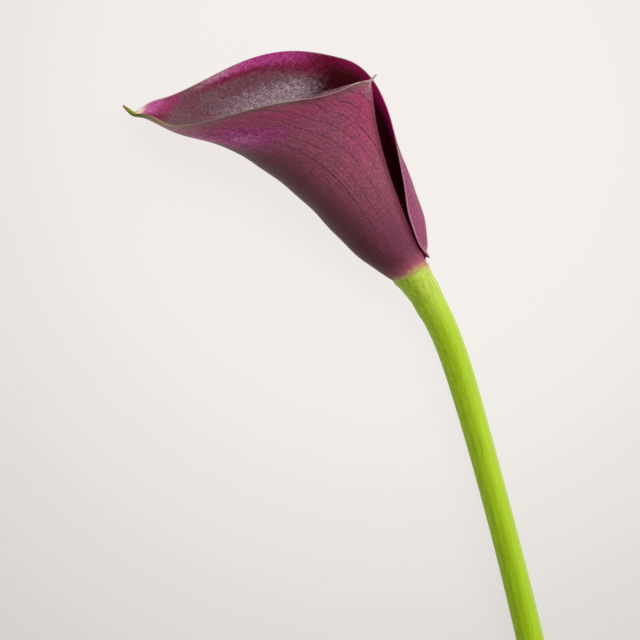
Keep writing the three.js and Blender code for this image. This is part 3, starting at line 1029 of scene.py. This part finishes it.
def stemMaterial():
    c = stemColours
    paint = Paint("stem", 0.38, specular=0.13)
    along, cut, sideways = map(paint.value, ("along", "cut", "left"))
    place = paint.place()
    x, y, z = [dot(place, row / millimetre) for row in np.eye(3)]
    fibres = noise(vector(x, times(y, 0.05), z), 1.8, 3.0, 0.6)
    patches = noise(vector(x, times(y, 0.3), z), 0.12, 2.0)
    fleck = noise(vector(x, y, z), 2.0, 2.0)
    # lighter towards the head, olive painted on the left as shade, pale painted on the right as a
    # highlight, and yellower at the top
    paint.colour = mix(smooth(along, 190, 30), c["green"], c["light"])
    paint.shade(smooth(patches, 0.3, 0.7, 0.96, 1.04))
    # painted shade: olive on the left, the side away from the lamps
    left = smooth(sideways, -0.2, 0.8)
    paint.over(c["olive"], left, smooth(fibres, 0.3, 0.7, 0.2, 0.7))
    # a painted highlight: pale down the right side
    paint.over(c["pale"], smooth(sideways, -0.3, -1.0, 0.0, 0.3))
    belowTop = smooth(along, 8, 26, 0.1, 1.0)
    paint.over(c["olive"], smooth(fibres, 0.5, 0.78, 0.0, 0.3), belowTop)
    paint.over(c["top"], smooth(along, 24, 1), smooth(left, 1.0, 0.2, 0.1, 0.7))
    paint.shade(smooth(fleck, 0.3, 0.7, 0.96, 1.04))
    # the spathe's colour comes down to the border, and the green shows below it
    green = paint.colour
    spatheFoot = spatheColours["plumBase"], spatheColours["dark"]
    paint.colour = mix(smooth(fibres, 0.3, 0.7), *spatheFoot)
    footBorder(paint, green)
    # the cut end: pale pith and a drier ring
    paint.over(c["pith"], cut, smooth(fleck, 0.3, 0.6, 0.75, 1.0))
    paint.over(c["dry"], bell(cut, 0.4, 0.35))
    paint.bump(add(fibres, times(fleck, 0.15)), 0.06)
    return paint.done()


spadixColours = {
    "gap": (0.5, 0.24, 0.02),
    "floret": (0.88, 0.6, 0.08),
    "pollen": (0.95, 0.76, 0.24),
}


def spadixMaterial():
    c = spadixColours
    paint = Paint("spadix", 0.7, sheen=0.3, specular=0.3, sheenTint=(1.0, 0.9, 0.5))
    place = paint.place()
    grain = noise(place, 2200.0, 2.0)
    patches = noise(place, 160.0, 2.0)
    paint.colour = mix(smooth(paint.value("dome"), 0.3, 0.95), c["gap"], c["floret"])
    paint.over(c["pollen"], smooth(patches, 0.4, 0.7, 0.0, 0.6))
    paint.shade(smooth(grain, 0.3, 0.7, 0.8, 1.12))
    paint.bump(grain, 0.1)
    return paint.done()


pieces = {
    "spathe": (makeSpathe, (outsideMaterial, insideMaterial)),
    "stem": (makeStem, (stemMaterial,)),
    "spadix": (makeSpadix, (spadixMaterial,)),
}
for node, (make, finishes) in pieces.items():
    piece = make()
    for finish in finishes:
        piece.data.materials.append(finish())
    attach(piece, "root")
    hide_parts(node)
    print(node, "made:", len(piece.data.polygons), "faces")


# Studio: a pale glowing floor with a pool of light round the head, a sky that meets the floor
# in the same tone and is darker to one side above it, and large soft lamps.
studio = {
    "floorColour": (0.09, 0.088, 0.086),
    "floorGlow": (0.815, 0.783, 0.76),
    "floorRadius": 12.0,
    "floorSides": 96,
    "poolCentre": (0.026, 0.13, 0.0),
    "poolInside": 0.054,
    "poolOutside": 0.27,
    "poolEdge": 0.63,
    "horizon": (0.585, 0.563, 0.545),
    "horizonHeights": (0.13, 0.3),
    "worldColour": (0.93, 0.915, 0.90),
    "worldDark": 0.12,
    "worldBright": 0.72,
    "worldSide": (0.8, 0.5, 0.33),
    "lampsAim": (0.0, 0.09, 0.02),
    "lamps": [
        # direction in the camera's frame (right, up, towards it), distance, size, watts
        ("key", (0.1, 0.47, 0.88), 0.95, 0.36, 2.4),
        ("side", (0.85, 0.25, 0.45), 1.1, 0.8, 4.0),
    ],
    "lampColour": (1.0, 0.985, 0.965),
}

camera = {
    "tilt": 18.0,
    "target": (-25.5, -16.0, 10.0),  # right, up and towards the camera, in mm
    "distance": 720.0,
    "lens": 135.0,
    "sensor": 36.0,
    "clip": (0.01, 60),
}


def cameraAxes():
    # right, up and back of the camera, in the row frame and in the head's own
    tilt = math.radians(camera["tilt"])
    cosine, sine = math.cos(tilt), math.sin(tilt)
    own = np.array([[1, 0, 0], [0, cosine, -sine], [0, sine, cosine]])
    return own @ headTurn.T, own


def makeCamera():
    axes, own = cameraAxes()
    target = np.array(camera["target"])
    place = toRow(target @ own + own[2] * camera["distance"])
    data = bpy.data.cameras.new("camera")
    data.lens = camera["lens"]
    data.sensor_width = camera["sensor"]
    data.clip_start, data.clip_end = camera["clip"]
    bpy.context.scene.camera = newObject("camera", data, axes, place * millimetre)


def makeStudio():
    axes, _ = cameraAxes()
    for name, way, far, size, watts in studio["lamps"]:
        lamp = bpy.data.lights.new(name, "AREA")
        lamp.shape = "DISK"
        lamp.size = size
        lamp.energy = watts
        lamp.color = studio["lampColour"]
        out = unit(np.array(way) @ axes)
        right = unit(np.cross([0, 0, 1.0], out))
        own = np.array([right, np.cross(out, right), out])
        newObject(name, lamp, own, studio["lampsAim"] + out * far)
    sides = studio["floorSides"]
    turn = np.linspace(0, 2 * math.pi, sides, endpoint=False)
    rim = np.stack([np.cos(turn), np.sin(turn), np.zeros(sides)], -1) * studio["floorRadius"]
    mesh = bpy.data.meshes.new("floor")
    mesh.from_pydata(rim.tolist(), [], [list(range(sides))])
    floor = newObject("floor", mesh)
    # it glows by itself, so that it hardly takes a shadow
    paint = Paint("floor", 0.9, specular=0.0)
    away = distance(paint.place(), studio["poolCentre"])
    fall = smooth(away, studio["poolInside"], studio["poolOutside"], 1.0, studio["poolEdge"])
    paint.colour = studio["floorColour"]
    put(paint.inputs["Emission Strength"], 1.0)
    put(paint.inputs["Emission Color"], scaled(studio["floorGlow"], fall))
    mesh.materials.append(paint.done())
    world = bpy.data.worlds.new("studio")
    world.use_nodes = True
    nodes = world.node_tree.nodes
    direction = nodes.new("ShaderNodeTexCoord").outputs["Generated"]
    towards = dot(direction, unit(np.array(studio["worldSide"])))
    strength = smooth(towards, -0.7, 0.7, studio["worldDark"], studio["worldBright"])
    low, high = studio["horizonHeights"]
    byHorizon = smooth(dot(direction, (0, 0, 1)), high, low)
    sky = mix(byHorizon, scaled(studio["worldColour"], strength), studio["horizon"])
    put(nodes["Background"].inputs["Color"], sky)
    bpy.context.scene.world = world
    bpy.context.scene.view_settings.view_transform = "Standard"


makeCamera()
makeStudio()
print("studio and camera made")
